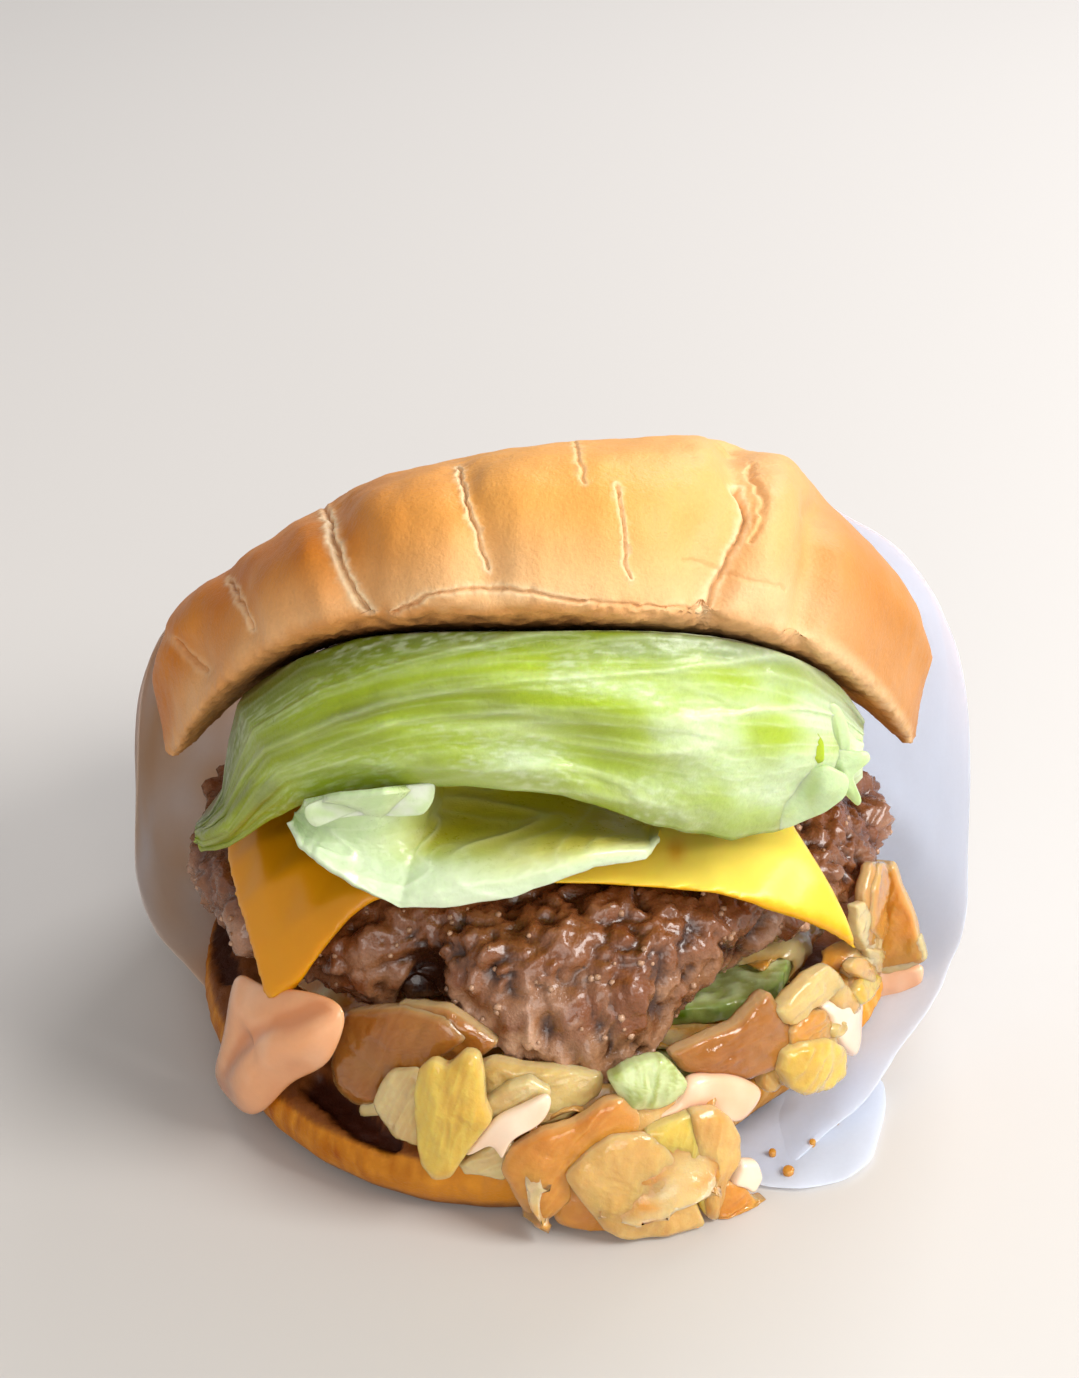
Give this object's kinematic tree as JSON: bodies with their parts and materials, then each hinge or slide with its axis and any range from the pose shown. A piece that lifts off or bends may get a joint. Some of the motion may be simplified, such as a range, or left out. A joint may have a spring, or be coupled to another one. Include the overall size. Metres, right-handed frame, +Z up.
{
  "type": "cheeseburger",
  "caption": "Cheeseburger with a soft bun, beef patty, melted cheese slice, lettuce, fried onions, pickle and sauce in a folded paper sleeve.",
  "frame": {"origin": "middle of the whole burger's box, on the surface that it rests on", "axes": "+Z up, +X to the right of someone facing the open mouth, +Y to the closed back of the sleeve"},
  "size_m": [0.1174, 0.112, 0.0999],
  "materials": {
    "bun": "baked bun crust, satin",
    "patty": "seared minced beef, moist",
    "cheese": "melted cheese slice",
    "lettuce": "fresh leaf, waxy",
    "onion": "fried onion, wet and clear",
    "pickle": "pickled cucumber, wet",
    "sauce": "pink burger sauce, glossy",
    "paper": "thin white waxed paper"
  },
  "bodies": {
    "root": {"heel": "bun", "crown": "bun", "patty": "patty", "cheese": "cheese", "lettuce_upper": "lettuce", "lettuce_lower": "lettuce", "onions": "onion", "pickle_right": "pickle", "pickle_front": "pickle", "sauce": "sauce", "sleeve": "paper"}
  },
  "joints": []
}
